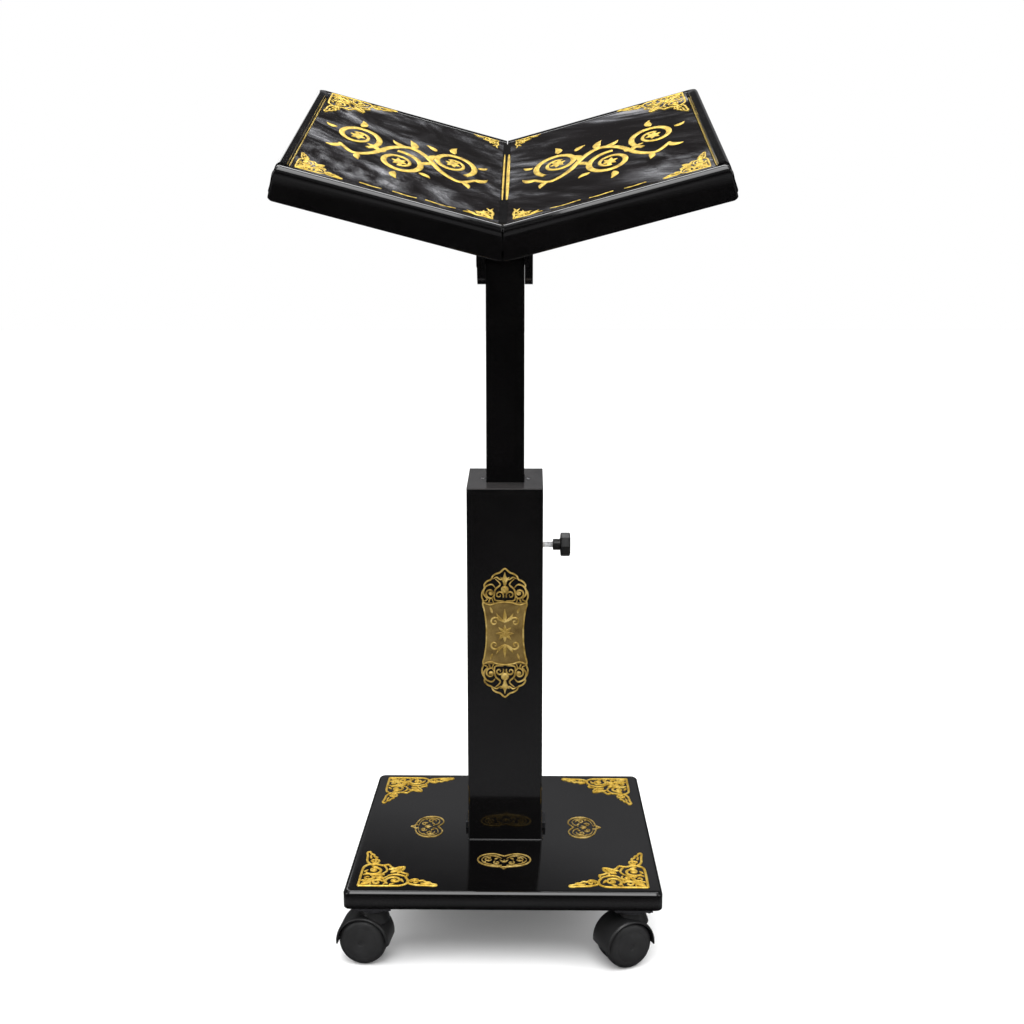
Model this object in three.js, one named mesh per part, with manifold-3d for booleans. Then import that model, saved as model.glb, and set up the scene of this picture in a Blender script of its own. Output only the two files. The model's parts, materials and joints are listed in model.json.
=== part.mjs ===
// Height-adjustable book stand on casters: a square base plate, a hollow column, a sliding post held by
// a side clamp, and a tilting V-shaped rest of two moulded leaves. Millimetres, +Z up, the reader stands
// at -Y, and the origin is on the floor under the centre of the stand.
import * as THREE from 'three';
import { mergeVertices } from 'three/addons/utils/BufferGeometryUtils.js';
import Module from 'manifold-3d';

const wasm = await Module();
wasm.setup();

// ---- driving dimensions ----
const GAP = 0.3; // left between pieces that meet in a turned group

const BASE = { side: 302, thick: 18, bottom: 60, bevel: 2.5, corner: 6 };
const BASE_TOP = BASE.bottom + BASE.thick;

const COLUMN = { side: 76, wall: 12, y: 6, top: 445, cap: 5, capRise: 10.5, corner: 1.6 };
const GUIDE = { height: 36, clearance: 0.4, play: 0.2 };

const POST = { width: 38, depth: 30, bottom: 270 };
const SHOE = { side: 50, height: 18 };

const CLAMP = { z: 382, screwR: 3, boreR: 3.1, padR: 8, padThick: 4, hubR: 5.8, headR: 12.4, hubStart: 48.4 };

const REST = { tilt: 22.9, valley: 15.6, pivotZ: 667, panelY: -93, panelZ: 70.1 };
const WING = { from: 12, to: 128, depth: 60, thick: 12, chamfer: [10, 6] };
const LEAF = { width: 193, depth: 251, thick: 18 };
const RIM = { width: 13, railHeight: 1.2, sideHeight: 2.4, backHeight: 0.3, railDrop: 31, drop: 29 };
const STRIP = { reach: 3.6, thick: 0.8, inset: 1 };
const CHEEK = { thick: 8, depth: 46, bottom: -20, top: 45 };
const CROSS_BLOCK = { depth: 40, bottom: 17.5 };
const BOLT = { r: 4, boreR: 4.1, headR: 6.6, headThick: 1.2, nutR: 7.5, nutThick: 5.5 };

const CASTER = { x: 124, y: 130.5, wheelR: 23, trail: 9, halfWidth: 18, axleR: 3 };
const HOOD = { r: 25.8, half: 16.5, bevel: 1.5, web: 2.6, clearance: 0.5, bossR: 11, bossBottom: 33 };
const RACE = { r: 14, bottom: 53, pinR: 4, boreR: 4.1, plate: 36, plateThick: 2.5 };
const CASTER_YAW = { front_left: -6, front_right: 24, rear_left: 204, rear_right: 174 };

const ORNAMENT = { thick: 1, cornerLeg: 77, inset: 11.5, heartWidth: 55, heartDepth: 40, heartAt: 81 };
const PLAQUE = { z: 298, halfHeight: 68, halfWidth: 24.2, waist: 20.7, thick: 2.5 };

// ---- materials ----
const finish = (color, roughness, metalness) =>
  new THREE.MeshStandardMaterial({ color, roughness, metalness });
const LACQUER = finish(0x0b0b0d, 0.12, 0);
const GOLD = finish(0xc9a545, 0.35, 0.9);
const NYLON = finish(0x1b1b1c, 0.45, 0);
const STEEL = finish(0xb9bcc0, 0.25, 1);
const DARK_STEEL = finish(0x2b2c2e, 0.4, 0.8);
const BRASS = finish(0xb8923c, 0.3, 1);
const BARE_WOOD = finish(0x8a6a45, 0.7, 0);

// ---- geometry helpers ----
const rad = THREE.MathUtils.degToRad;
const turn = (x, y, z) => new THREE.Matrix4().makeBasis(x, y, z);
const X = new THREE.Vector3(1, 0, 0);
const Y = new THREE.Vector3(0, 1, 0);
const Z = new THREE.Vector3(0, 0, 1);
const TO_X = turn(Y, Z, X); // outline in Y-Z, length along +X
const TO_Y = turn(X, Z, Y.clone().negate()); // outline in X-Z, length along -Y

// Joins coincident corners and drops the triangles that collapse there, which leaves a closed mesh.
function closed(geometry) {
  if (!geometry.attributes.uv) return geometry;
  const bare = geometry.clone();
  for (const name of ['normal', 'uv']) bare.deleteAttribute(name);
  const merged = mergeVertices(bare, 1e-4);
  const corners = merged.index.array;
  const kept = [];
  for (let i = 0; i < corners.length; i += 3) {
    const [a, b, c] = corners.slice(i, i + 3);
    if (a !== b && b !== c && c !== a) kept.push(a, b, c);
  }
  merged.setIndex(kept);
  merged.computeVertexNormals();
  return merged;
}

function toSolid(geometry) {
  const mesh = closed(geometry);
  const vertProperties = new Float32Array(mesh.attributes.position.array);
  const triVerts = new Uint32Array(mesh.index.array);
  return new wasm.Manifold(new wasm.Mesh({ numProp: 3, vertProperties, triVerts }));
}

function fromSolid(solid) {
  const { vertProperties, triVerts } = solid.getMesh();
  const geometry = new THREE.BufferGeometry();
  geometry.setAttribute('position', new THREE.BufferAttribute(new Float32Array(vertProperties), 3));
  geometry.setIndex(new THREE.BufferAttribute(new Uint32Array(triVerts), 1));
  geometry.computeVertexNormals();
  return geometry;
}

const cut = (body, ...tools) => fromSolid(tools.reduce((s, t) => s.subtract(toSolid(t)), toSolid(body)));
const join = (body, ...more) => fromSolid(more.reduce((s, t) => s.add(toSolid(t)), toSolid(body)));
const common = (a, b) => fromSolid(toSolid(a).intersect(toSolid(b)));

function mirrored(geometry) {
  const copy = closed(geometry).clone();
  copy.scale(-1, 1, 1);
  const corners = copy.index.array;
  for (let i = 0; i < corners.length; i += 3) [corners[i], corners[i + 1]] = [corners[i + 1], corners[i]];
  copy.computeVertexNormals();
  return copy;
}

const outline = (points) => new THREE.Shape(points.map(([x, y]) => new THREE.Vector2(x, y)));

function prism(shape, length, options = {}) {
  const settings = { depth: length, bevelEnabled: false, curveSegments: 6, ...options };
  return new THREE.ExtrudeGeometry(shape, settings);
}

const alongX = (shape, from, to) => prism(shape, to - from).applyMatrix4(TO_X).translate(from, 0, 0);
const alongY = (shape, from, to) => prism(shape, to - from).applyMatrix4(TO_Y).translate(0, to, 0);
const alongZ = (shape, from, to) => prism(shape, to - from).translate(0, 0, from);

// Skins a clockwise section over a run of places, each a rule that puts a section point in space.
function loft(clockwise, places) {
  const section = clockwise.slice().reverse();
  const count = section.length;
  const points = places.flatMap((place) => section.map(place)).flat();
  const faces = [];
  for (let ring = 0; ring + 1 < places.length; ring += 1) {
    for (let i = 0; i < count; i += 1) {
      const [a, b] = [ring * count + i, ring * count + ((i + 1) % count)];
      faces.push(a, b + count, b, a, a + count, b + count);
    }
  }
  const caps = THREE.ShapeUtils.triangulateShape(section.map(([x, y]) => new THREE.Vector2(x, y)), []);
  const last = (places.length - 1) * count;
  for (const [a, b, c] of caps) faces.push(a, b, c, last + c, last + b, last + a);
  const geometry = new THREE.BufferGeometry();
  geometry.setAttribute('position', new THREE.Float32BufferAttribute(points, 3));
  geometry.setIndex(faces);
  return geometry;
}

function box(width, depth, from, to) {
  return new THREE.BoxGeometry(width, depth, to - from).translate(0, 0, (from + to) / 2);
}

function rodX(radius, from, to, segments = 24) {
  return new THREE.CylinderGeometry(radius, radius, to - from, segments).rotateZ(-Math.PI / 2)
    .translate((from + to) / 2, 0, 0);
}

function rodY(radius, from, to, segments = 24) {
  return new THREE.CylinderGeometry(radius, radius, to - from, segments).translate(0, (from + to) / 2, 0);
}

function rodZ(radius, from, to, segments = 24) {
  return new THREE.CylinderGeometry(radius, radius, to - from, segments).rotateX(Math.PI / 2)
    .translate(0, 0, (from + to) / 2);
}

function roundedSquare(width, depth, radius) {
  const [w, d] = [width / 2, depth / 2];
  const shape = new THREE.Shape();
  shape.moveTo(-w + radius, -d).lineTo(w - radius, -d);
  shape.absarc(w - radius, -d + radius, radius, -Math.PI / 2, 0);
  shape.lineTo(w, d - radius).absarc(w - radius, d - radius, radius, 0, Math.PI / 2);
  shape.lineTo(-w + radius, d).absarc(-w + radius, d - radius, radius, Math.PI / 2, Math.PI);
  shape.lineTo(-w, -d + radius).absarc(-w + radius, -d + radius, radius, Math.PI, 1.5 * Math.PI);
  return shape;
}

const stand = new THREE.Group();

function piece(parent, name, geometry, material) {
  const mesh = new THREE.Mesh(closed(geometry), material);
  mesh.name = name;
  parent.add(mesh);
  return mesh;
}

// ---- base plate and its gilt ornaments ----
function basePlate() {
  const { side, thick, bevel, corner, bottom } = BASE;
  const inner = side - 2 * bevel;
  const plan = roundedSquare(inner, inner, corner - bevel);
  const bevels = { bevelEnabled: true, bevelSize: bevel, bevelThickness: bevel, bevelSegments: 2 };
  return prism(plan, thick - 2 * bevel, { ...bevels, curveSegments: 4 }).translate(0, 0, bottom + bevel);
}

// A corner ornament fills the angle of the plate with three lobes along its open side.
function cornerOrnament() {
  const leg = ORNAMENT.cornerLeg;
  const shape = new THREE.Shape();
  shape.moveTo(0, 0).lineTo(leg, 0).quadraticCurveTo(0.86 * leg, 0.13 * leg, 0.68 * leg, 0.15 * leg);
  shape.quadraticCurveTo(0.7 * leg, 0.32 * leg, 0.5 * leg, 0.34 * leg);
  shape.quadraticCurveTo(0.48 * leg, 0.48 * leg, 0.34 * leg, 0.5 * leg);
  shape.quadraticCurveTo(0.32 * leg, 0.7 * leg, 0.15 * leg, 0.68 * leg);
  shape.quadraticCurveTo(0.13 * leg, 0.86 * leg, 0, leg);
  return prism(shape, ORNAMENT.thick, { curveSegments: 4 });
}

// A heart-shaped medallion with its point towards -Y.
function heartOrnament() {
  const [w, d] = [ORNAMENT.heartWidth / 2, ORNAMENT.heartDepth / 2];
  const shape = new THREE.Shape();
  shape.moveTo(0, -d).bezierCurveTo(0.3 * w, -0.55 * d, w, -0.35 * d, w, 0.25 * d);
  shape.bezierCurveTo(w, 0.9 * d, 0.35 * w, 1.15 * d, 0, 0.72 * d);
  shape.bezierCurveTo(-0.35 * w, 1.15 * d, -w, 0.9 * d, -w, 0.25 * d);
  shape.bezierCurveTo(-w, -0.35 * d, -0.3 * w, -0.55 * d, 0, -d);
  return prism(shape, ORNAMENT.thick, { curveSegments: 7 });
}

piece(stand, 'base_plate', basePlate(), LACQUER);

const QUARTERS = ['front_left', 'front_right', 'rear_right', 'rear_left'];
const SIDES = ['front', 'right', 'rear', 'left'];
QUARTERS.forEach((quarter, i) => {
  const place = BASE.side / 2 - ORNAMENT.inset;
  const ornament = cornerOrnament().translate(-place, -place, BASE_TOP).rotateZ(i * Math.PI / 2);
  piece(stand, `corner_ornament_${quarter}`, ornament, GOLD);
});
SIDES.forEach((side, i) => {
  const heart = heartOrnament().translate(0, -ORNAMENT.heartAt, BASE_TOP).rotateZ(i * Math.PI / 2);
  piece(stand, `base_medallion_${side}`, heart, GOLD);
});

// ---- column: four panels, cap, post guide ----
const PANEL_TOP = COLUMN.top - COLUMN.cap;
const INNER = COLUMN.side - 2 * COLUMN.wall;
const column = new THREE.Group();
column.position.y = COLUMN.y;
stand.add(column);

// The front and back panels run full width and cover the edges of the side panels.
function widePanel(sign) {
  const [half, wall, r] = [COLUMN.side / 2, COLUMN.wall, COLUMN.corner];
  const plan = outline([
    [-half, half - wall], [half, half - wall], [half, half - r], [half - 0.3 * r, half - 0.3 * r],
    [half - r, half], [-half + r, half], [-half + 0.3 * r, half - 0.3 * r], [-half, half - r],
  ]);
  const panel = alongZ(plan, BASE_TOP, PANEL_TOP);
  return sign < 0 ? panel.rotateZ(Math.PI) : panel;
}

function sidePanel(sign) {
  return box(COLUMN.wall, INNER, BASE_TOP, PANEL_TOP).translate(sign * (COLUMN.side - COLUMN.wall) / 2, 0, 0);
}

const INSERT_R = 5.5;
piece(column, 'column_front_panel', widePanel(-1), LACQUER);
piece(column, 'column_back_panel', widePanel(1), LACQUER);
piece(column, 'column_left_panel', sidePanel(-1), LACQUER);
const clampHole = rodX(INSERT_R, INNER / 2 - 1, COLUMN.side / 2 + 1).translate(0, 0, CLAMP.z);
piece(column, 'column_right_panel', cut(sidePanel(1), clampHole), LACQUER);

const blockSide = INNER - 2 * GUIDE.play;

const CAP_BACK = COLUMN.top + COLUMN.capRise;
const CAP_MIDDLE = COLUMN.top + COLUMN.capRise / 2;
const CAP_EASE = 0.8;
const postHole = box(POST.width + 2 * GUIDE.clearance, POST.depth + 2 * GUIDE.clearance, 0, CAP_BACK + 1);
const CAP_SCREW = { x: 22.9, r: 1.5, headR: 2.6, head: 1.3, length: 20, clearance: 0.1 };
const SEAT = CAP_MIDDLE - CAP_SCREW.head + 0.3;
const holes = [-CAP_SCREW.x, CAP_SCREW.x].flatMap((x) => {
  const { r, headR, length, clearance } = CAP_SCREW;
  const bore = rodZ(r + clearance, SEAT - length - 1, CAP_BACK, 12);
  const recess = rodZ(headR + clearance, SEAT - clearance, CAP_BACK, 16);
  return [bore.translate(x, 0, 0), recess.translate(x, 0, 0)];
});

// The cap is a wedge: its top slopes down towards the reader.
function columnCap() {
  const half = COLUMN.side / 2;
  const block = alongZ(roundedSquare(COLUMN.side, COLUMN.side, COLUMN.corner), PANEL_TOP, CAP_BACK);
  const wedge = outline([
    [-half, PANEL_TOP], [half, PANEL_TOP], [half, CAP_BACK - CAP_EASE], [half - CAP_EASE, CAP_BACK],
    [-half + CAP_EASE, COLUMN.top], [-half, COLUMN.top - CAP_EASE],
  ]);
  return cut(common(block, alongX(wedge, -half, half)), postHole, ...holes);
}

piece(column, 'column_cap', columnCap(), LACQUER);
const guideBlock = box(blockSide, blockSide, PANEL_TOP - GUIDE.height, PANEL_TOP);
piece(column, 'post_guide', cut(guideBlock, postHole, ...holes), BARE_WOOD);

const CLEAT = { thick: 4, length: 26, height: 7, y: 4 };
for (const [side, sign] of [['left', -1], ['right', 1]]) {
  const { x, r, headR, head, length } = CAP_SCREW;
  const screw = join(rodZ(r, SEAT - length, SEAT + 0.3, 12), rodZ(headR, SEAT, SEAT + head, 16));
  piece(column, `cap_screw_${side}`, screw.translate(sign * x, 0, 0), DARK_STEEL);
  const cleat = box(CLEAT.thick, CLEAT.length, BASE_TOP, BASE_TOP + CLEAT.height);
  cleat.translate(sign * (COLUMN.side + CLEAT.thick) / 2, CLEAT.y, 0);
  piece(column, `foot_cleat_${side}`, cleat, DARK_STEEL);
}

// ---- plaque on the column's front ----
function plaqueOutline() {
  const { halfHeight: h, halfWidth: w, waist } = PLAQUE;
  const quarter = [[waist, 0], [waist, 0.22 * h], [0.93 * w, 0.38 * h], [w, 0.52 * h], [0.93 * w, 0.62 * h]];
  quarter.push([0.68 * w, 0.66 * h], [0.62 * w, 0.74 * h], [0.3 * w, 0.82 * h], [0.1 * w, 0.92 * h]);
  const lower = quarter.map(([x, z]) => [x, -z]).reverse();
  const right = [[0, -h], ...lower.slice(0, -1), ...quarter];
  const left = [[0, h], ...right.slice(1).reverse().map(([x, z]) => [-x, z])];
  return outline([...right, ...left]);
}

const columnFront = COLUMN.y - COLUMN.side / 2;
const plaque = alongY(plaqueOutline(), columnFront - PLAQUE.thick, columnFront).translate(0, 0, PLAQUE.z);
piece(stand, 'front_plaque', plaque, GOLD);

// ---- post with its guide shoe; the top is round about the tilt axis ----
function postBlank() {
  const half = POST.depth / 2;
  const side = new THREE.Shape();
  side.moveTo(-half, POST.bottom).lineTo(half, POST.bottom).lineTo(half, REST.pivotZ);
  side.absarc(0, REST.pivotZ, half, 0, Math.PI).lineTo(-half, POST.bottom);
  const blank = alongX(side, -POST.width / 2, POST.width / 2);
  return cut(blank, rodX(BOLT.boreR, -POST.width, POST.width).translate(0, 0, REST.pivotZ));
}

piece(column, 'post', postBlank(), LACQUER);
const shoe = alongZ(roundedSquare(SHOE.side, SHOE.side, 3), POST.bottom - SHOE.height, POST.bottom);
piece(column, 'post_shoe', shoe, NYLON);

// ---- side clamp: pad, screw, lobed knob, threaded insert ----
const clamp = new THREE.Group();
clamp.position.z = CLAMP.z;
column.add(clamp);
const PAD_START = POST.width / 2 + GAP;
const PAD_END = PAD_START + CLAMP.padThick;
const SCREW_END = CLAMP.hubStart + 14;
const KNOB_BORE = 3.05;

const insertWall = cut(rodX(INSERT_R - 0.05, INNER / 2, COLUMN.side / 2), rodX(CLAMP.boreR, 0, COLUMN.side));
piece(clamp, 'threaded_insert', insertWall, BRASS);
piece(clamp, 'clamp_pad', rodX(CLAMP.padR, PAD_START, PAD_END), NYLON);
piece(clamp, 'clamp_screw', rodX(CLAMP.screwR, PAD_END + GAP, SCREW_END), STEEL);

function lobedHead(length) {
  const [lobes, perLobe, bevel] = [8, 6, 1.4];
  const count = lobes * perLobe;
  const points = Array.from({ length: count }, (_, i) => {
    const angle = (2 * Math.PI * i) / count;
    const radius = CLAMP.headR - bevel - 0.55 + 0.55 * Math.cos(lobes * angle);
    return [radius * Math.cos(angle), radius * Math.sin(angle)];
  });
  const bevels = { bevelEnabled: true, bevelSize: bevel, bevelThickness: bevel, bevelSegments: 2 };
  return prism(outline(points), length - 2 * bevel, bevels).translate(0, 0, bevel).applyMatrix4(TO_X);
}

const HUB_LENGTH = 8;
const HEAD_LENGTH = 10.3;
const hub = rodX(CLAMP.hubR, CLAMP.hubStart, CLAMP.hubStart + HUB_LENGTH);
const head = lobedHead(HEAD_LENGTH).translate(CLAMP.hubStart + HUB_LENGTH - 0.4, 0, 0);
const screwSocket = rodX(KNOB_BORE, CLAMP.hubStart - 1, SCREW_END + 0.2);
piece(clamp, 'clamp_knob', cut(join(hub, head), screwSocket), NYLON);

// ---- V rest: turned about the pivot bolt ----
const rest = new THREE.Group();
rest.position.set(0, COLUMN.y, REST.pivotZ);
rest.rotation.x = rad(REST.tilt);
stand.add(rest);

const CHEEK_IN = POST.width / 2 + GAP;
const CHEEK_OUT = CHEEK_IN + CHEEK.thick;

function cheek(withNutSeat) {
  const half = CHEEK.depth / 2;
  const round = 14;
  const side = new THREE.Shape();
  side.moveTo(half, CHEEK.top).lineTo(-half, CHEEK.top).lineTo(-half, CHEEK.bottom + round);
  side.absarc(-half + round, CHEEK.bottom + round, round, Math.PI, 1.5 * Math.PI);
  side.lineTo(half - round, CHEEK.bottom);
  side.absarc(half - round, CHEEK.bottom + round, round, -Math.PI / 2, 0).lineTo(half, CHEEK.top);
  const blank = alongX(side, CHEEK_IN, CHEEK_OUT);
  const bore = rodX(BOLT.boreR, 0, 2 * CHEEK_OUT);
  const seat = rodX(BOLT.nutR + GAP, CHEEK_OUT - BOLT.nutThick - GAP, CHEEK_OUT + 1, 6);
  return withNutSeat ? cut(blank, bore, seat) : cut(blank, bore);
}

// The wing's underside, seen along the rest's depth, meets the cheek's slanted top.
const wingBottom = -LEAF.thick - WING.thick;

function underLeaf(geometry) {
  return geometry.rotateY(rad(-REST.valley)).translate(0, 0, REST.panelZ);
}

const slant = underLeaf(box(400, 400, wingBottom - GAP, 200));
const sideCheek = cut(cheek(true), slant);
piece(rest, 'right_cheek', sideCheek, LACQUER);
piece(rest, 'left_cheek', mirrored(cut(cheek(false), slant)), LACQUER);

// A block between the cheeks ties them together above the post's rounded top.
const tie = box(2 * (CHEEK_IN - GAP), CROSS_BLOCK.depth, CROSS_BLOCK.bottom, CHEEK.top);
const leftSlant = mirrored(slant);
piece(rest, 'cross_block', cut(tie, slant, leftSlant), LACQUER);

const shank = rodX(BOLT.r, -CHEEK_OUT - 0.2, CHEEK_OUT - 0.4);
const domed = rodX(BOLT.headR, -CHEEK_OUT - BOLT.headThick - 0.1, -CHEEK_OUT - 0.1);
piece(rest, 'pivot_bolt', join(shank, domed), DARK_STEEL);
const nut = rodX(BOLT.nutR, CHEEK_OUT - BOLT.nutThick, CHEEK_OUT - 0.2, 6);
piece(rest, 'pivot_nut', cut(nut, rodX(BOLT.boreR, 0, 2 * CHEEK_OUT)), DARK_STEEL);

// Leaf pieces are drawn for the right leaf: +X runs from the valley to the outer edge, +Y to the back,
// and Z = 0 is the reading face. The left leaf is the mirror image.
const VALLEY_TOP = 0.5;
const EDGE = LEAF.width + RIM.width;

// Rim section from its inner edge outwards: a quirk, a broad round nose, then a steep face.
function rimSection(drop, lean, height) {
  const w = RIM.width;
  return [
    [0, 0], [0.08 * w, -0.7], [0.16 * w, 0.5 * height], [0.34 * w, height], [0.56 * w, height],
    [0.72 * w, height - 0.7], [0.86 * w, height - 2.4], [0.96 * w, height - 5], [w, height - 8.5],
    [w + lean, 3 - drop], [w + lean - 3, -drop], [0, -drop],
  ];
}

const frontSection = outline(rimSection(RIM.railDrop, 0, RIM.railHeight).map(([y, z]) => [-y - GAP, z]));

// The front rail's outline across the leaf: its valley end follows the plane of symmetry.
const railEnds = outline([
  [2, 5], [VALLEY_TOP, 0], [-5.2, 9 - RIM.railDrop], [-6.3, 4 - RIM.railDrop], [-5, -RIM.railDrop],
  [EDGE - 4, -RIM.railDrop], [EDGE + 1, 3.5 - RIM.railDrop], [EDGE + 1.6, 8 - RIM.railDrop],
  [EDGE + 0.4, -5], [EDGE - 1.4, -0.6], [EDGE - 4.4, 5],
]);

// A shallow rebate along the valley takes the filler strip flush with the reading face.
function leafPanel() {
  const slope = Math.tan(rad(REST.valley));
  const rebate = { width: STRIP.reach / Math.cos(rad(REST.valley)) + GAP, depth: STRIP.thick + GAP / 2 };
  const section = outline([
    [rebate.width, 0], [rebate.width, -rebate.depth], [VALLEY_TOP - rebate.depth * slope, -rebate.depth],
    [VALLEY_TOP - LEAF.thick * slope, -LEAF.thick], [LEAF.width, -LEAF.thick], [LEAF.width, 0],
  ]);
  return alongY(section, 0, LEAF.depth);
}

function frontRail() {
  const bar = alongX(frontSection, -8, EDGE + 4);
  return common(bar, alongY(railEnds, -2 * RIM.width, 0));
}

// One L-shaped moulding wraps the outer side and the back, with a mitred corner. Its nose sinks to the
// level of the leaf towards the corner, and its far end meets the other leaf's on the plane of symmetry.
function edgeMoulding() {
  const section = rimSection(RIM.drop, 2, RIM.sideHeight);
  const [side, back] = [LEAF.width + GAP, LEAF.depth + GAP];
  const sunk = (z) => (z > 0 ? (z * RIM.backHeight) / RIM.sideHeight : z);
  const toValley = (z) => VALLEY_TOP + z * Math.tan(rad(REST.valley));
  return loft(section, [
    ([s, z]) => [side + s, 0, z],
    ([s, z]) => [side + s, back - RIM.width, z],
    ([s, z]) => [side + s, back + s, sunk(z)],
    ([s, z]) => [toValley(z), back + s, sunk(z)],
  ]);
}

function wing() {
  const [across, up] = WING.chamfer;
  const section = outline([
    [WING.from, wingBottom], [WING.to - across, wingBottom], [WING.to, wingBottom + up],
    [WING.to, -LEAF.thick - GAP], [WING.from, -LEAF.thick - GAP],
  ]);
  const middle = -REST.panelY;
  return alongY(section, middle - WING.depth / 2, middle + WING.depth / 2);
}

for (const [side, sign] of [['left', -1], ['right', 1]]) {
  const leaf = new THREE.Group();
  leaf.position.set(0, REST.panelY, REST.panelZ);
  leaf.rotation.y = rad(-sign * REST.valley);
  rest.add(leaf);
  const handed = (geometry) => (sign < 0 ? mirrored(geometry) : geometry);
  piece(leaf, `${side}_leaf_panel`, handed(leafPanel()), LACQUER);
  piece(leaf, `${side}_front_rail`, handed(frontRail()), LACQUER);
  piece(leaf, `${side}_edge_moulding`, handed(edgeMoulding()), LACQUER);
  piece(leaf, `${side}_wing`, handed(wing()), BARE_WOOD);
}

// The filler strip is a shallow V that covers the joint of the two panels, flush with both faces.
function valleyStrip() {
  const { reach, thick, inset } = STRIP;
  const rise = reach * Math.tan(rad(REST.valley));
  const section = outline([
    [0, -thick], [reach, rise - thick], [reach, rise], [0, 0], [-reach, rise], [-reach, rise - thick],
  ]);
  return alongY(section, inset, LEAF.depth - inset);
}

const strip = piece(rest, 'valley_strip', valleyStrip(), LACQUER);
strip.position.set(0, REST.panelY, REST.panelZ);

// ---- casters: plate with raceway, swivelling hood with axle, two wheels ----
function casterPlate() {
  const underside = BASE.bottom - RACE.plateThick;
  const race = rodZ(RACE.r, RACE.bottom, underside + 0.5, 20);
  const plate = join(box(RACE.plate, RACE.plate, underside, BASE.bottom), race);
  return cut(plate, rodZ(RACE.boreR, RACE.bottom - 1, BASE.bottom + 1, 20));
}

// The hood is drawn about its axle, which lies along Y; the swivel axis stands at X = trail.
function casterHood() {
  const { wheelR, trail, axleR } = CASTER;
  const { r, half, bevel, web, clearance, bossR, bossBottom } = HOOD;
  const skirt = -1.5;
  const arc = new THREE.Shape();
  arc.absarc(0, 0, r - bevel, 0, Math.PI);
  arc.lineTo(-r + bevel, skirt - 1).lineTo(r - bevel, skirt - 1);
  const bevels = { bevelEnabled: true, bevelSize: bevel, bevelThickness: bevel, bevelSegments: 2 };
  const arch = prism(arc, 2 * (half - bevel), { ...bevels, curveSegments: 10 }).applyMatrix4(TO_Y);
  arch.translate(0, half - bevel, 0);
  const well = (from, to) => rodY(wheelR + clearance, from, to, 32);
  const wells = [well(web, 2 * half), well(-2 * half, -web)];
  const belowSkirt = box(4 * r, 4 * r, skirt - 2 * bevel, skirt);
  const boss = rodZ(bossR, bossBottom - wheelR, RACE.bottom - GAP - wheelR, 24).translate(trail, 0, 0);
  const pin = rodZ(RACE.pinR, wheelR - 1, BASE.bottom - 3 - wheelR).translate(trail, 0, 0);
  const shell = join(cut(arch, ...wells, belowSkirt), cut(boss, ...wells), rodY(8, -web, web), pin);
  return cut(shell, rodY(axleR + 0.05, -2 * half, 2 * half)).translate(-trail, 0, wheelR);
}

function wheel() {
  const { wheelR: r, halfWidth: w, axleR } = CASTER;
  const profile = [
    [0, w], [0.4 * r, w - 0.3], [0.72 * r, w - 1.3], [0.9 * r, w - 2.8], [0.98 * r, w - 4.6], [r, w - 6.5],
    [r, 4.6], [0.95 * r, 3.2], [axleR + 0.1, 3.2], [axleR + 0.1, w - 3], [0, w - 3],
  ];
  return new THREE.LatheGeometry(profile.map(([x, y]) => new THREE.Vector2(x, y)).reverse(), 24);
}

QUARTERS.forEach((quarter) => {
  const x = quarter.endsWith('left') ? -CASTER.x : CASTER.x;
  const y = quarter.startsWith('front') ? -CASTER.y : CASTER.y;
  piece(stand, `caster_plate_${quarter}`, casterPlate(), DARK_STEEL).position.set(x, y, 0);
  const caster = new THREE.Group();
  caster.position.set(x, y, 0);
  caster.rotation.z = rad(CASTER_YAW[quarter]);
  stand.add(caster);
  piece(caster, `caster_hood_${quarter}`, casterHood(), NYLON);
  const axleHalf = CASTER.halfWidth - 3.4;
  const axle = rodY(CASTER.axleR, -axleHalf, axleHalf).translate(-CASTER.trail, 0, CASTER.wheelR);
  piece(caster, `caster_axle_${quarter}`, axle, STEEL);
  for (const [name, sign] of [['a', -1], ['b', 1]]) {
    const disc = wheel().rotateX(sign < 0 ? Math.PI : 0).translate(-CASTER.trail, 0, CASTER.wheelR);
    piece(caster, `caster_wheel_${quarter}_${name}`, disc, NYLON);
  }
});

export default stand;
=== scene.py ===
"""Looks for the rolling book stand: gloss black lacquer, gilt arabesque relief, satin nylon casters."""
import json
import math

import bpy
from mathutils import Matrix, Vector

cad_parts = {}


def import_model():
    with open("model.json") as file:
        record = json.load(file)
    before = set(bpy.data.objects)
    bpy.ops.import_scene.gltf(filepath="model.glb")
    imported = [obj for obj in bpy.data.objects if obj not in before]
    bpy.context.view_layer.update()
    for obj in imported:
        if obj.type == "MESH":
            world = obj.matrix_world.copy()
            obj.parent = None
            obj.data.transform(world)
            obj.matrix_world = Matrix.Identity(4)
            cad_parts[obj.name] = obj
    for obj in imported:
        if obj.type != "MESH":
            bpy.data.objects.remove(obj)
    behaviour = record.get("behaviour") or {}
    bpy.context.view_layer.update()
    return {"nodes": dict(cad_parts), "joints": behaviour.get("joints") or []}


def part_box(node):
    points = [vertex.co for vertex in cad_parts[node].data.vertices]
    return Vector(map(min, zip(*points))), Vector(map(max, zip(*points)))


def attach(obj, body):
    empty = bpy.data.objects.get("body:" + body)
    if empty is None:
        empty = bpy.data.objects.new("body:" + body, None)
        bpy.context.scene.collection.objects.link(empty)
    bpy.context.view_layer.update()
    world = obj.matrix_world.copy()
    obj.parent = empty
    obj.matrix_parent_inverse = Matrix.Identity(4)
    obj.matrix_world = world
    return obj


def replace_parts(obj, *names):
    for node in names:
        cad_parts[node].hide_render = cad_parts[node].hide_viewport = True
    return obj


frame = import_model()
NODES = frame["nodes"]
MM = 0.001
QUARTERS = ("front_left", "front_right", "rear_right", "rear_left")
SIDES = ("front", "right", "rear", "left")


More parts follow.
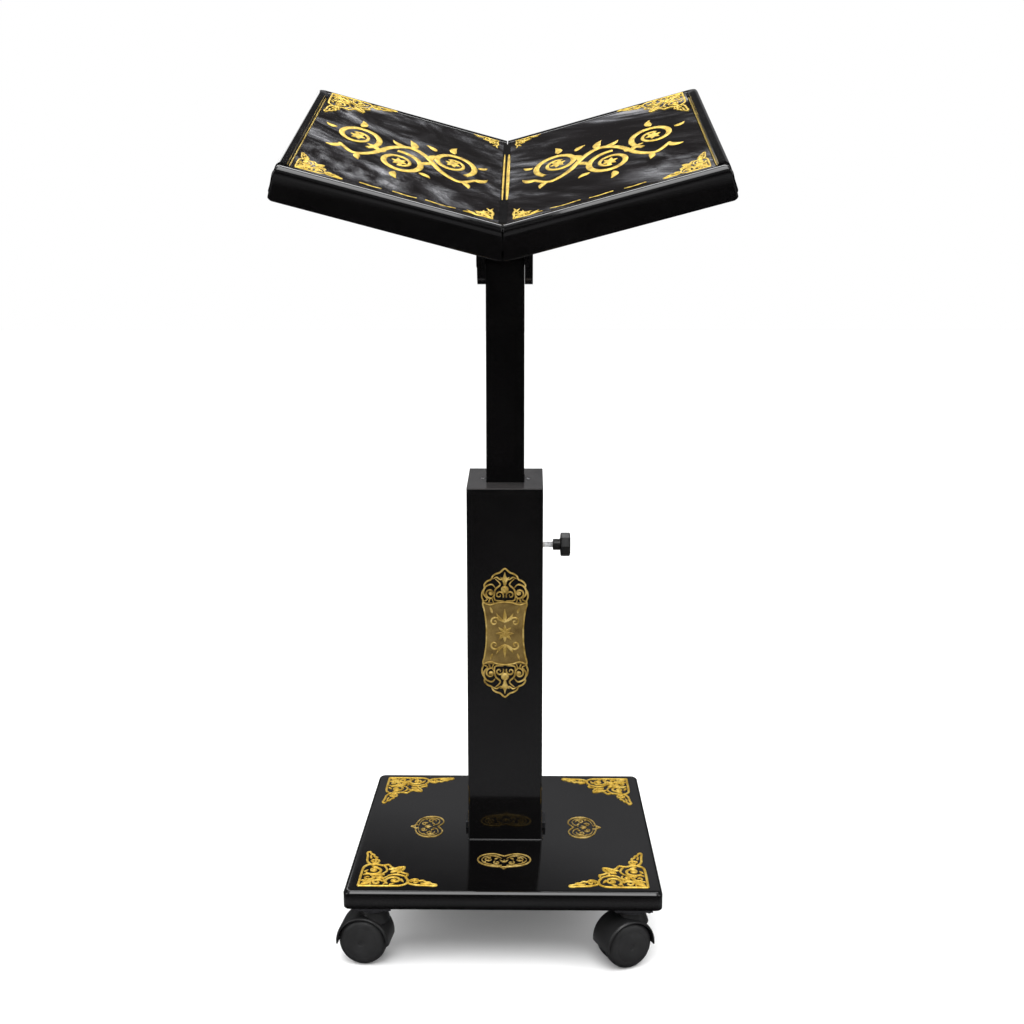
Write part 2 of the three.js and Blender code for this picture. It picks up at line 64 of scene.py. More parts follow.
# ------------------------------------------------------------------ materials
class Surface:
    """A procedural material: a Principled shader fed by noise in object coordinates."""

    def __init__(self, name, **values):
        self.material = bpy.data.materials.new(name)
        self.material.use_nodes = True
        self.tree = self.material.node_tree
        self.shader = self.tree.nodes["Principled BSDF"]
        for socket, value in values.items():
            self.shader.inputs[socket.replace("_", " ")].default_value = value
        self.place = self.node("ShaderNodeTexCoord").outputs["Object"]

    def node(self, kind, **settings):
        made = self.tree.nodes.new(kind)
        for key, value in settings.items():
            setattr(made, key, value)
        return made

    def link(self, source, target):
        self.tree.links.new(source, target)

    def noise(self, scale, detail=4.0, rough=0.5, stretch=(1, 1, 1), distortion=0.0):
        """Noise with features about 1 / scale metres across, drawn out along an axis by stretch."""
        mapping = self.node("ShaderNodeMapping")
        mapping.inputs["Scale"].default_value = stretch
        self.link(self.place, mapping.inputs["Vector"])
        made = self.node("ShaderNodeTexNoise")
        made.inputs["Scale"].default_value = scale
        made.inputs["Detail"].default_value = detail
        made.inputs["Roughness"].default_value = rough
        made.inputs["Distortion"].default_value = distortion
        self.link(mapping.outputs["Vector"], made.inputs["Vector"])
        return made.outputs["Fac"]

    def cells(self, scale, stretch=(1, 1, 1)):
        """Distance to scattered points, for specks."""
        mapping = self.node("ShaderNodeMapping")
        mapping.inputs["Scale"].default_value = stretch
        self.link(self.place, mapping.inputs["Vector"])
        made = self.node("ShaderNodeTexVoronoi", feature="F1")
        made.inputs["Scale"].default_value = scale
        self.link(mapping.outputs["Vector"], made.inputs["Vector"])
        return made.outputs["Distance"]

    def spread(self, value, low, high, to_low=0.0, to_high=1.0):
        """Stretches low to high over another range and clamps the rest."""
        made = self.node("ShaderNodeMapRange", clamp=True)
        for key, number in zip(("From Min", "From Max", "To Min", "To Max"), (low, high, to_low, to_high)):
            made.inputs[key].default_value = number
        self.link(value, made.inputs["Value"])
        return made.outputs["Result"]

    def upward(self, below, above):
        """One value on faces that look up, another on all others."""
        split = self.node("ShaderNodeSeparateXYZ")
        self.link(self.node("ShaderNodeTexCoord").outputs["Normal"], split.inputs["Vector"])
        return self.spread(split.outputs["Z"], 0.3, 0.6, below, above)

    def sum(self, first, second, operation="ADD"):
        """Adds, or multiplies, two values; each is a socket or a number."""
        made = self.node("ShaderNodeMath", operation=operation)
        for socket, value in zip(made.inputs, (first, second)):
            if isinstance(value, (int, float)):
                socket.default_value = value
            else:
                self.link(value, socket)
        return made.outputs["Value"]

    def colours(self, value, *stops):
        """Colour ramp over value; each stop is (position, (r, g, b))."""
        made = self.node("ShaderNodeValToRGB")
        ramp = made.color_ramp
        while len(ramp.elements) < len(stops):
            ramp.elements.new(0.5)
        for element, (position, colour) in zip(ramp.elements, stops):
            element.position = position
            element.color = (*colour, 1.0)
        self.link(value, made.inputs["Fac"])
        self.link(made.outputs["Color"], self.shader.inputs["Base Color"])

    def roughness(self, value, low, high, smooth, rough):
        self.link(self.spread(value, low, high, smooth, rough), self.shader.inputs["Roughness"])

    def bump(self, *layers):
        """Each layer is (height value, depth in metres)."""
        previous = None
        for value, depth in layers:
            made = self.node("ShaderNodeBump")
            made.inputs["Distance"].default_value = depth
            self.link(value, made.inputs["Height"])
            if previous is not None:
                self.link(previous, made.inputs["Normal"])
            previous = made.outputs["Normal"]
        self.link(previous, self.shader.inputs["Normal"])


def lacquer(name="black_lacquer", smooth=0.05, rough=0.16, painted_top_sheen=0.0, haze_and_sheen_tone=0.014):
    """Sprayed and polished black lacquer: orange peel, wiping haze and dust; faces that look up can be
    lightened by painted sheen, and the haze's lightest colour can be raised as painted sheen too.
    """
    s = Surface(name, Specular_IOR_Level=0.5, Coat_Weight=0.35, Coat_Roughness=0.04)
    haze = s.noise(14, 5, 0.62, distortion=0.6)
    wipes = s.noise(60, 3, 0.5, stretch=(1, 0.12, 0.5))
    dust = s.spread(s.cells(420), 0.0, 0.16, 1.0, 0.0)
    specks = s.sum(dust, s.spread(s.noise(55, 2), 0.55, 0.7), "MULTIPLY")
    cover = s.sum(haze, s.sum(specks, 0.35, "MULTIPLY"))
    # Painted sheen: faces that look up get a lighter colour here; the ramp's lightest stop is haze tone,
    # raised further as painted sheen where a lighter copy is made.
    s.colours(s.sum(cover, s.upward(0.0, painted_top_sheen)), (0.3, (0.0012, 0.0011, 0.0012)),
              (0.75, (0.0028, 0.0026, 0.0027)), (1.0, (haze_and_sheen_tone, 0.95 * haze_and_sheen_tone, 0.95 * haze_and_sheen_tone)))
    mixed = s.sum(s.sum(haze, wipes), specks)
    s.roughness(mixed, 0.7, 1.6, smooth, rough)
    s.bump((s.noise(260, 2, 0.4), 0.000012), (s.noise(1400, 2), 0.0000025))
    return s.material


def leaf_lacquer():
    """The reading face: the same lacquer with slanting smoky smears, partly real hand smears and partly
    painted sheen: a grey of up to 0.22 in the colour, only on faces that look up, stands in for the
    reflection across the face.
    """
    s = Surface("leaf_lacquer", Specular_IOR_Level=0.5, Coat_Weight=0.25, Coat_Roughness=0.05)
    lean = s.node("ShaderNodeMapping")
    lean.inputs["Rotation"].default_value = (0, 0, math.radians(28))
    s.link(s.place, lean.inputs["Vector"])
    s.place = lean.outputs["Vector"]
    smears = s.spread(s.noise(13, 5, 0.62, stretch=(0.34, 1, 1), distortion=1.6), 0.4, 0.6)
    wipes = s.spread(s.noise(46, 6, 0.66, stretch=(0.16, 1, 1), distortion=0.5), 0.32, 0.6)
    veil = s.spread(s.noise(5.5, 3, 0.5), 0.38, 0.6, 0.35, 1.0)
    # Painted sheen: the smears' grey is kept to faces that look up, lightening the colour of the reading face
    # in place of reflected light.
    painted_sheen_on_top_faces = s.sum(veil, s.upward(0.06, 1.0), "MULTIPLY")
    smears_and_painted_sheen = s.sum(s.sum(smears, wipes, "MULTIPLY"), painted_sheen_on_top_faces, "MULTIPLY")
    dust = s.spread(s.cells(420), 0.0, 0.14, 1.0, 0.0)
    s.colours(s.sum(smears_and_painted_sheen, s.sum(dust, 0.05, "MULTIPLY")), (0.0, (0.0034, 0.0024, 0.0024)),
              (0.16, (0.012, 0.0108, 0.0115)), (0.42, (0.07, 0.07, 0.075)), (0.8, (0.22, 0.22, 0.235)))
    s.roughness(smears_and_painted_sheen, 0.0, 1.0, 0.07, 0.34)
    s.bump((s.noise(260, 2, 0.4), 0.000012), (s.noise(1400, 2), 0.0000025))
    return s.material


def gilt(name="gilt", dark=(0.26, 0.14, 0.016), mid=(0.68, 0.43, 0.050), light=(0.9, 0.65, 0.15)):
    """Gold paint and leaf over relief: uneven cover, its colour varying at random from dark to light gold."""
    s = Surface(name, Metallic=0.6, Specular_IOR_Level=0.4)
    patches = s.noise(130, 6, 0.62)
    grain = s.noise(900, 3, 0.6)
    tone = s.sum(s.sum(patches, 0.75, "MULTIPLY"), s.sum(grain, 0.3, "MULTIPLY"))
    s.colours(tone, (0.33, dark), (0.5, mid), (0.68, light))
    s.roughness(grain, 0.3, 0.7, 0.26, 0.48)
    s.bump((s.noise(480, 4, 0.6), 0.00012), (grain, 0.00003))
    return s.material


def bronze_field():
    """The plaque's sunk field: dull bronze with a cast, sandy grain."""
    s = Surface("bronze_field", Metallic=0.6, Specular_IOR_Level=0.4)
    grain = s.noise(1500, 4, 0.7)
    cloud = s.noise(70, 5, 0.6)
    s.colours(s.sum(s.sum(cloud, 0.6, "MULTIPLY"), s.sum(grain, 0.4, "MULTIPLY")),
              (0.36, (0.11, 0.068, 0.018)), (0.52, (0.22, 0.145, 0.042)), (0.68, (0.34, 0.235, 0.075)))
    s.roughness(grain, 0.3, 0.7, 0.38, 0.6)
    s.bump((grain, 0.00010), (s.noise(260, 3), 0.00012))
    return s.material


def nylon(name, shade=0.012, smooth=0.32, rough=0.5, grain_depth=0.00003):
    """Moulded black nylon: fine spark-eroded grain, scuffs and a satin sheen."""
    s = Surface(name, Specular_IOR_Level=0.5)
    grain = s.noise(2600, 3, 0.6)
    scuffs = s.noise(45, 6, 0.7, distortion=0.4)
    s.colours(scuffs, (0.3, (shade * 0.7,) * 3), (0.6, (shade, shade, shade * 1.05)),
              (0.85, (shade * 2.4,) * 3))
    s.roughness(scuffs, 0.35, 0.7, smooth, rough)
    s.bump((grain, grain_depth), (s.noise(120, 3), 0.00004))
    return s.material


def plated(name, colour, smooth, rough, stretch=(1, 1, 1), metallic=1.0):
    """Turned or plated metal with fine lines along its lay and a few dull patches."""
    s = Surface(name, Metallic=metallic)
    lines = s.noise(2200, 3, 0.6, stretch=stretch)
    patches = s.noise(90, 4, 0.6)
    darker = tuple(c * 0.62 for c in colour)
    tone = s.sum(s.sum(patches, 0.6, "MULTIPLY"), s.sum(lines, 0.4, "MULTIPLY"))
    s.colours(tone, (0.35, darker), (0.6, colour))
    s.roughness(patches, 0.35, 0.7, smooth, rough)
    s.bump((lines, 0.00002))
    return s.material


def bare_wood(name, long_way):
    """Unfinished beech: pores and rays drawn out along the grain; long_way is the noise stretch."""
    s = Surface(name, Specular_IOR_Level=0.3)
    grain = s.noise(160, 6, 0.65, stretch=long_way, distortion=0.5)
    pores = s.noise(1200, 3, 0.6, stretch=long_way)
    s.colours(s.sum(s.sum(grain, 0.7, "MULTIPLY"), s.sum(pores, 0.3, "MULTIPLY")),
              (0.35, (0.19, 0.105, 0.05)), (0.5, (0.36, 0.225, 0.12)), (0.68, (0.47, 0.32, 0.185)))
    s.roughness(pores, 0.3, 0.7, 0.55, 0.75)
    s.bump((pores, 0.00012), (grain, 0.0001))
    return s.material


LACQUER = lacquer()
# The cap's lacquer is a lighter copy with painted sheen: its top faces and its haze are lighter, standing in
# for the room's reflection on the cap's top.
CAP_LACQUER_PAINTED_SHEEN = lacquer("cap_lacquer_painted_sheen", 0.08, 0.24, 0.5, 0.04)
LEAF_LACQUER = leaf_lacquer()
GILT = gilt()
LEAF_GILT = gilt("leaf_gilt", (0.22, 0.125, 0.012), (0.6, 0.405, 0.045), (0.84, 0.63, 0.12))
PLAQUE_GILT = gilt("plaque_gilt", (0.13, 0.075, 0.017), (0.42, 0.275, 0.062), (0.78, 0.58, 0.2))
SCREW_STEEL = plated("screw_steel", (0.34, 0.34, 0.36), 0.28, 0.45, metallic=0.6)
BRONZE = bronze_field()
HOOD_NYLON = nylon("hood_nylon", 0.011, 0.34, 0.5)
WHEEL_NYLON = nylon("wheel_nylon", 0.014, 0.38, 0.55)
KNOB_NYLON = nylon("knob_plastic", 0.01, 0.3, 0.45)
# Painted sheen: a near-white colour under a metallic of only 0.4 makes the thread light, standing in for the
# bright reflections of chrome.
CHROME_PAINTED_SHEEN = plated("thread_painted_sheen", (0.92, 0.93, 0.95), 0.2, 0.36, metallic=0.4)
DARK_STEEL = plated("dark_steel", (0.05, 0.05, 0.054), 0.3, 0.5, metallic=0.7)
AXLE_STEEL = plated("axle_steel", (0.5, 0.51, 0.53), 0.25, 0.42, stretch=(0.1, 1, 1))
BRASS = plated("satin_brass", (0.80, 0.57, 0.19), 0.2, 0.36, stretch=(1, 0.05, 0.3), metallic=0.8)
GUIDE_WOOD = bare_wood("guide_wood", (1, 1, 0.07))
WING_WOOD = bare_wood("wing_wood", (1, 0.07, 1))


# ------------------------------------------------------------------ mesh building
def add_piece(name, points, faces, material, body, sharp=35.0):
    """A smooth-shaded mesh that rides on a body; edges over the sharp angle stay crisp."""
    mesh = bpy.data.meshes.new(name)
    mesh.from_pydata([tuple(p) for p in points], [], faces)
    mesh.validate()
    mesh.update()
    mesh.polygons.foreach_set("use_smooth", [True] * len(mesh.polygons))
    mesh.set_sharp_from_angle(angle=math.radians(sharp))
    made = bpy.data.objects.new(name, mesh)
    bpy.context.scene.collection.objects.link(made)
    mesh.materials.append(material)
    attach(made, body)
    return made


def skin(rings, closed_path=False, caps=True):
    """Points and faces of a tube skinned over rings that hold the same number of points."""
    count = len(rings[0])
    points = [p for ring in rings for p in ring]
    faces = []
    last = len(rings) if closed_path else len(rings) - 1
    for r in range(last):
        a, b = r * count, ((r + 1) % len(rings)) * count
        for i in range(count):
            j = (i + 1) % count
            faces.append((a + i, a + j, b + j, b + i))
    if caps and not closed_path:
        faces.append(tuple(reversed(range(count))))
        faces.append(tuple(range((len(rings) - 1) * count, len(rings) * count)))
    return points, faces


def lathe_rings(profile, segments):
    """Rings about Z from (radius, height) pairs; a radius of 0 is drawn as a tiny ring."""
    angles = [2 * math.pi * k / segments for k in range(segments)]
    rings = []
    for radius, height in profile:
        r = max(radius, 1e-6)
        rings.append([Vector((r * math.cos(a), r * math.sin(a), height)) for a in angles])
    return rings


def merge(parts):
    """Joins (points, faces) lists into one."""
    points, faces = [], []
    for part_points, part_faces in parts:
        start = len(points)
        points += part_points
        faces += [tuple(i + start for i in face) for face in part_faces]
    return points, faces


def moved(part, matrix):
    """The part after a transform; a mirrored part keeps its faces outwards."""
    points, faces = part
    flipped = matrix.determinant() < 0
    return [matrix @ Vector(p) for p in points], [tuple(reversed(f)) if flipped else f for f in faces]


def arc_points(centre, radius, start, end, steps):
    """Points on an arc in the plane, angles in degrees."""
    return [(centre[0] + radius * math.cos(math.radians(start + (end - start) * k / steps)),
             centre[1] + radius * math.sin(math.radians(start + (end - start) * k / steps)))
            for k in range(steps + 1)]


def soften(name, width, segments=3, angle=28):
    """Eases the edges of a CAD node with a weld and a bevel modifier."""
    node = NODES[name]
    weld = node.modifiers.new("weld", "WELD")
    weld.merge_threshold = 1e-6
    ease = node.modifiers.new("ease", "BEVEL")
    ease.width = width
    ease.segments = segments
    ease.limit_method = "ANGLE"
    ease.angle_limit = math.radians(angle)
    ease.miter_outer = "MITER_ARC"
    ease.harden_normals = False


def dress(material, *names):
    """Gives CAD nodes a material."""
    for name in names:
        slots = NODES[name].data.materials
        slots.clear()
        slots.append(material)


# ------------------------------------------------------------------ places, as the CAD has them
TILT, VALLEY = math.radians(22.9), math.radians(15.6)
PIVOT = Vector(next(j["pos_m"] for j in frame["joints"] if j["name"] == "rest_tilt"))
PANEL_WIDTH, PANEL_DEPTH = 193.0, 251.0
RIM, GAP = 13.0, 0.3
RIM_DROP, RAIL_DROP = 29.0, 31.0
RAIL_HEIGHT, SIDE_HEIGHT, BACK_HEIGHT = 1.2, 2.4, 0.3
EDGE = PANEL_WIDTH + RIM
SCALE = Matrix.Scale(MM, 4)
VALLEY_SPOT = Vector((0, -93.0 * MM, 70.1 * MM))
REST = Matrix.Translation(PIVOT) @ Matrix.Rotation(TILT, 4, "X") @ Matrix.Translation(VALLEY_SPOT)
HANDS = (("left", -1), ("right", 1))


def leaf_place(sign):
    """From millimetres on a leaf (across from the valley, back from the rail, up) to the row frame."""
    mirror = Matrix.Diagonal((sign, 1, 1, 1))
    return REST @ Matrix.Rotation(-sign * VALLEY, 4, "Y") @ mirror @ SCALE


def extra(name, part, material, body="frame", sharp=60):
    """Adds a piece that has no CAD node of its own."""
    made = add_piece(name, *part, material, body, sharp)
    return made


def stand_in(node, name, part, material, body="frame", sharp=35):
    """Adds a finer piece in place of a CAD node."""
    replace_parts(extra(name, part, material, body, sharp), node)


# ------------------------------------------------------------------ smooth curves and relief strokes
def smooth(points, per=6, closed=False):
    """Catmull-Rom curve through the points, which may have any number of coordinates."""
    count = len(points)
    spans = count if closed else count - 1
    made = []
    for i in range(spans):
        near = [(i + k) % count if closed else min(max(i + k, 0), count - 1) for k in (-1, 0, 1, 2)]
        for t in (step / per for step in range(per)):
            made.append(tuple(0.5 * (2 * b + (c - a) * t + (2 * a - 5 * b + 4 * c - d) * t * t
                                     + (3 * b - a - 3 * c + d) * t ** 3)
                              for a, b, c, d in zip(*(points[k] for k in near))))
    if not closed:
        made.append(tuple(points[-1]))
    return made


def stroke(path, height, closed=False, across=6):
    """A raised, round-backed ribbon along a flat path of (x, y, half width)."""
    count = len(path)
    rings = []
    for i, (x, y, half) in enumerate(path):
        ahead = path[(i + 1) % count] if closed else path[min(i + 1, count - 1)]
        behind = path[i - 1] if closed else path[max(i - 1, 0)]
        dx, dy = ahead[0] - behind[0], ahead[1] - behind[1]
        length = math.hypot(dx, dy) or 1.0
        side = (-dy / length, dx / length)
        lift = height * min(1.0, 0.35 + half)
        rings.append([Vector((x + side[0] * half * math.cos(a), y + side[1] * half * math.cos(a),
                              lift * math.sin(a) ** 0.7))
                      for a in (math.pi * k / across for k in range(across + 1))])
    return skin(rings, closed_path=closed)


def line(points, half, per=6):
    """An open curve of even width."""
    return [(x, y, half) for x, y in smooth(points, per)]


def ring(points, half, per=6):
    """A closed outline of even width."""
    return ("closed", [(x, y, half) for x, y in smooth(points, per, closed=True)])


def tapered(points, thick, start=0.25, end=0.12, per=6):
    """A curve whose half width swells from one fine end to the other."""
    path = smooth(points, per)
    count = len(path) - 1
    made = []
    for i, (x, y) in enumerate(path):
        t = i / count
        swell = math.sin(math.pi * (0.08 + 0.84 * t)) ** 0.8
        made.append((x, y, max(thick * swell, thick * (start * (1 - t) + end * t))))
    return made


def scroll(centre, outer, start, turns, thick, inner=0.16, per_turn=20):
    """A volute that winds in from its outer end to a bud; start in degrees, turns signed."""
    steps = int(abs(turns) * per_turn)
    made = []
    for i in range(steps + 1):
        t = i / steps
        radius = outer * (1 - (1 - inner) * t ** 0.85)
        a = math.radians(start) + 2 * math.pi * turns * t
        width = thick * (0.55 + 0.45 * math.sin(math.pi * min(1.0, 0.25 + t)))
        made.append((centre[0] + radius * math.cos(a), centre[1] + radius * math.sin(a), width))
    return made


def bud(centre, radius):
    """A round knob of relief: a closed ring that fills itself."""
    spots = (2 * math.pi * k / 12 for k in range(12))
    return ("closed", [(centre[0] + 0.5 * radius * math.cos(a), centre[1] + 0.5 * radius * math.sin(a),
                        0.52 * radius) for a in spots])


def petal(base, angle, length, half, bend=0.0):
    """A leaf from its base: angle in degrees, bent sideways at the middle."""
    c, s = math.cos(math.radians(angle)), math.sin(math.radians(angle))
    made = []
    for t in (i / 12 for i in range(13)):
        along, off = length * t, bend * math.sin(math.pi * t)
        wide = half * max(0.07, math.sin(math.pi * t ** 0.75)) ** 0.9
        made.append((base[0] + along * c - off * s, base[1] + along * s + off * c, wide))
    return made


def rosette(centre, count, length, half, turn=0.0):
    """Petals about a bud."""
    petals = [petal(centre, turn + 360 * k / count, length, half) for k in range(count)]
    return petals + [bud(centre, 0.42 * length)]


def each(strokes, rule):
    """Applies a rule (x, y, half) -> (x, y, half) to every point, open and closed strokes alike."""
    return [("closed", [rule(*p) for p in item[1]]) if isinstance(item, tuple) else [rule(*p) for p in item]
            for item in strokes]


def swapped(strokes):
    """The design mirrored about its diagonal."""
    return each(strokes, lambda x, y, w: (y, x, w))


def mirrored(strokes):
    """The design mirrored left to right."""
    return each(strokes, lambda x, y, w: (-x, y, w))


def placed(strokes, at=(0.0, 0.0), size=1.0, weight=1.0, flip=(1, 1)):
    """Scales a design, mirrors it and moves it."""
    return each(strokes, lambda x, y, w: (at[0] + flip[0] * size * x, at[1] + flip[1] * size * y,
                                          size * weight * w))


def relief(strokes, height):
    """One mesh of raised ribbons from a design."""
    return merge([stroke(item[1], height, True) if isinstance(item, tuple) else stroke(item, height)
                  for item in strokes])


# ------------------------------------------------------------------ ornament designs, in millimetres
def corner_design():
    """Filigree for a right-angled corner with 77 mm legs: a scrolled body with a cusp, and two lobed arms."""
    hem = [(1.3, 1.3), (12, 1.3), (24, 1.2), (36, 1.4), (42, 2.2), (46, 5), (48, 8.6)]
    under = [(48, 8.4), (51, 5.4), (56, 3.4), (62, 2.8), (68, 2.4), (73, 1.4), (76, 2.4), (75.4, 4.6)]
    over = [(47.6, 9.4), (51.5, 14.4), (56.2, 15.2), (59, 11.8), (62.6, 12.6), (65.6, 9.4), (69, 8.8),
            (71.4, 5.8), (75.4, 4.6)]
    flank = [(47.6, 9.4), (47.4, 14.6), (45.2, 20), (46.6, 26), (42.2, 28.6), (38.8, 32.4), (41.4, 37),
             (42, 42)]
    half = [line(hem, 1.25), line(under, 1.2), line(over, 1.1), line(flank, 1.2)]
    half += [scroll((34.4, 13.2), 9.2, 232, -1.3, 1.35), scroll((18.6, 8.6), 5.8, 20, 1.2, 1.1),
             tapered([(3, 3.6), (9, 6), (14.6, 12.6), (22.4, 16.6), (28, 21.6)], 1.15),
             tapered([(27, 22), (33, 25.4), (39.8, 24.2), (45, 20.6)], 1.1),
             tapered([(24.6, 3), (26.4, 8.4), (24.2, 13.4), (25, 18.6)], 1.0),
             tapered([(12, 2.2), (12.6, 6.4), (10.4, 8.8)], 0.85),
             scroll((55, 9.2), 4.1, 180, -1.15, 0.95), petal((60.4, 7.2), -6, 10.4, 1.2, -0.7),
             petal((36.4, 26.6), 76, 8, 1.4), petal((30.6, 3.4), 36, 6.4, 1.2),
             petal((40.6, 16.2), -64, 8, 1.3), bud((34.4, 13.2), 2.6)]
    spine = [petal((5.4, 5.4), 45, 13, 1.7), petal((30, 30), 45, 14.6, 2.2),
             petal((29.4, 29.4), 16, 8.4, 1.3, 0.9), petal((29.4, 29.4), 74, 8.4, 1.3, -0.9),
             scroll((20.6, 20.6), 5.2, 45, 1.2, 1.05), bud((20.6, 20.6), 2.2)]
    return half + swapped(half) + spine


def spray_design():
    """A small fan of leaves and two scrolls for a right-angled corner with 30 mm legs."""
    half = [tapered([(1.5, 1.5), (9, 2.4), (16, 1.6), (23, 3.4), (29, 2)], 1.2),
            scroll((14.5, 6.8), 4.2, 250, -1.1, 0.95), petal((8, 8), 12, 11, 1.5, 1.1),
            petal((17.5, 4.4), 22, 9, 1.3, -0.8)]
    return half + swapped(half) + [petal((3, 3), 45, 15, 2.0)]


def heart_design():
    """A heart-shaped medallion, point towards -Y: an outline and an inner line, petals and scrolls."""
    rim = [(0, -19.2), (3.4, -15.0), (9, -13.6), (17, -11.4), (24, -5.6), (26.2, 2.0), (23.4, 9.6),
           (16.6, 14.0), (9.2, 14.4), (3.6, 11.6), (0, 9.4)]
    inner = [(2.2, -11.4), (9, -10.6), (15.4, -8.6), (20.6, -3.6), (22.2, 2.0), (19.8, 7.4), (15, 10.4)]
    half = [line(rim, 0.8), tapered(inner, 0.5, 0.6, 0.3)]
    half += [scroll((15, 1.8), 5.0, 110, -1.3, 0.62), scroll((7.0, -5.2), 3.8, 60, -1.2, 0.58),
             tapered([(2.4, 4), (6.4, 8.4), (11, 10), (15, 10.4)], 0.6), petal((9.6, 2.4), 140, 5.4, 0.85),
             petal((18.0, -2.6), -62, 4.4, 0.7)]
    frame_top = [tapered([(-3.6, -10.6), (-3.8, -14.2), (0, -14.8), (3.8, -14.2), (3.6, -10.6)], 0.6)]
    return half + mirrored(half) + frame_top + [petal((0, -4.6), a, 7.2, 0.9) for a in (90, 52, 128)]


def vine_design():
    """A scrolling vine for a leaf: a wave-shaped stem, a volute with a flower in every bend, and leaves."""
    stem = smooth([(-80, -22), (-62, -36), (-40, -22), (-20, 8), (0, 20), (22, 6), (40, -22), (60, -34),
                   (78, -18)], 8)
    count = len(stem) - 1
    made = [[(x, y, 3.4 * (0.35 + 0.65 * math.sin(math.pi * (0.06 + 0.88 * i / count)) ** 0.6))
             for i, (x, y) in enumerate(stem)]]
    for centre, start, turns in (((-52, 8), 236, -1.5), ((8, -26), 80, 1.55), ((62, 14), 240, -1.5)):
        made.append(scroll(centre, 29, start, turns, 3.3, 0.3, 30))
        made += rosette(centre, 6, 9.4, 2.6, 15)
    leaves = ((-78, -22, 150, 19, 4.2, 3), (-66, -34, 240, 16, 3.6, -2), (-30, -8, 318, 18, 3.8, 3),
              (-26, 0, 118, 21, 4.2, -4), (-4, 20, 74, 22, 4.4, 3), (4, 19, 28, 20, 4.0, -3),
              (28, -2, 300, 15, 3.2, -2), (34, -12, 38, 19, 3.8, 3), (54, -34, 262, 15, 3.4, 2),
              (76, -20, -28, 18, 4.0, -3), (-82, 14, 150, 13, 3.0, 2), (-52, 37, 96, 18, 4.0, -3),
              (-30, 30, 40, 16, 3.6, 2), (62, 43, 88, 18, 4.0, 3), (88, 24, 20, 14, 3.2, -2),
              (10, -55, 256, 16, 3.8, 3), (-16, -42, 204, 15, 3.4, -2))
    return made + [petal((x, y), angle, length, half, bend) for x, y, angle, length, half, bend in leaves]


PLAQUE_Z, PLAQUE_HALF = 298.0, 67.6
FIELD_HALF = 29.5


def plaque_outline(step=0.0):
    """Right half of the plaque's outline from the top tip down, drawn in by a step."""
    side = [(9.6, 61.2), (13.0, 58.8), (14.6, 55.4), (18.6, 53.6), (21.6, 49.8), (21.0, 46.6), (23.4, 42.6),
            (24.0, 37.6), (22.6, 33.4), (23.0, 29.6), (21.6, 24.4), (20.2, 15.6), (19.4, 5.6)]
    upper = [(0.0, PLAQUE_HALF - 1.3 * step), (4.6, 63.6 - step)] + [(x - step, y) for x, y in side]
    return upper + [(x, -y) for x, y in reversed(upper)]


def plaque_design():
    """The plaque's openwork: a rim, and the same scrolls and petals at both ends."""
    outline = plaque_outline(0.9)
    rim = ring(outline + [(-x, y) for x, y in reversed(outline[1:-1])], 0.85, 4)
    sill = line([(0, FIELD_HALF + 3), (8, FIELD_HALF + 2), (15, FIELD_HALF), (21.6, FIELD_HALF + 2.4)], 0.8)
    half = [scroll((14.4, 41.4), 5.6, 250, 1.3, 0.9), scroll((5.6, 39.4), 4.6, 210, -1.2, 0.85),
            tapered([(21.4, 33), (17.6, 35.4), (21.4, 41), (19.6, 47.6), (13.4, 50.4), (9.6, 47)], 0.95),
            tapered([(1.4, 33.6), (10, 34.6), (9.6, 44.6), (4.6, 50.4), (9.6, 56)], 0.9),
            tapered([(0, 59.6), (3.8, 55.4), (8.2, 57.6), (12, 56)], 0.75),
            tapered([(11, 31), (12.6, 36), (10, 40)], 0.7),
            petal((0, 50.4), 58, 9, 1.3, 0.8), petal((16.4, 31.8), 112, 5.4, 0.9), bud((14.4, 41.4), 2.0)]
    end = half + mirrored(half) + [sill] + mirrored([sill]) + [petal((0, 48), 90, 15, 2.0), bud((0, 45), 4.0)]
    return [rim] + end + each(end, lambda x, y, w: (x, -y, w))


def field_design():
    """Generic flowers for the plaque's middle: a rosette between two sprays."""
    spray = [petal((0, 9), 90, 12, 1.5), petal((0, 9.6), 48, 10.6, 1.3, -1),
             petal((0, 9.6), 132, 10.6, 1.3, 1), scroll((8.6, 10), 4.4, 160, -1.2, 0.75),
             scroll((-8.6, 10), 4.4, 20, 1.2, 0.75),
             petal((10.4, 17.4), 70, 6, 1.0), petal((-10.4, 17.4), 110, 6, 1.0)]
    return rosette((0, 0), 8, 7.4, 1.5) + spray + each(spray, lambda x, y, w: (x, -y, w))


# ------------------------------------------------------------------ leaves
def rim_section(drop, lean, height):
    """Smooth moulding section: quirk, broad round nose, steep face and eased foot."""
    quirk = smooth([(0.0, 0.05), (0.5, -0.5), (1.1, -0.75), (1.7, -0.4), (2.2, 0.45 * height)], 3)
    nose = smooth([(2.9, 0.85 * height), (4.3, height), (7.2, height), (9.2, height - 0.6),
                   (11.1, height - 2.3), (12.4, height - 4.9), (13.0, height - 8.6)], 5)
    foot = arc_points((RIM + lean - 3.2, 3.2 - drop), 3.2, 0, -90, 5)
    return quirk + nose + foot + [(0.0, -drop)]


def inset(section, distance):
    """The section's points moved towards its inside."""
    count = len(section)
    made = []
    for i, (x, y) in enumerate(section):
        (ax, ay), (bx, by) = section[i - 1], section[(i + 1) % count]
        dx, dy = bx - ax, by - ay
        length = math.hypot(dx, dy) or 1.0
        made.append((x + dy / length * distance, y - dx / length * distance))
    return made


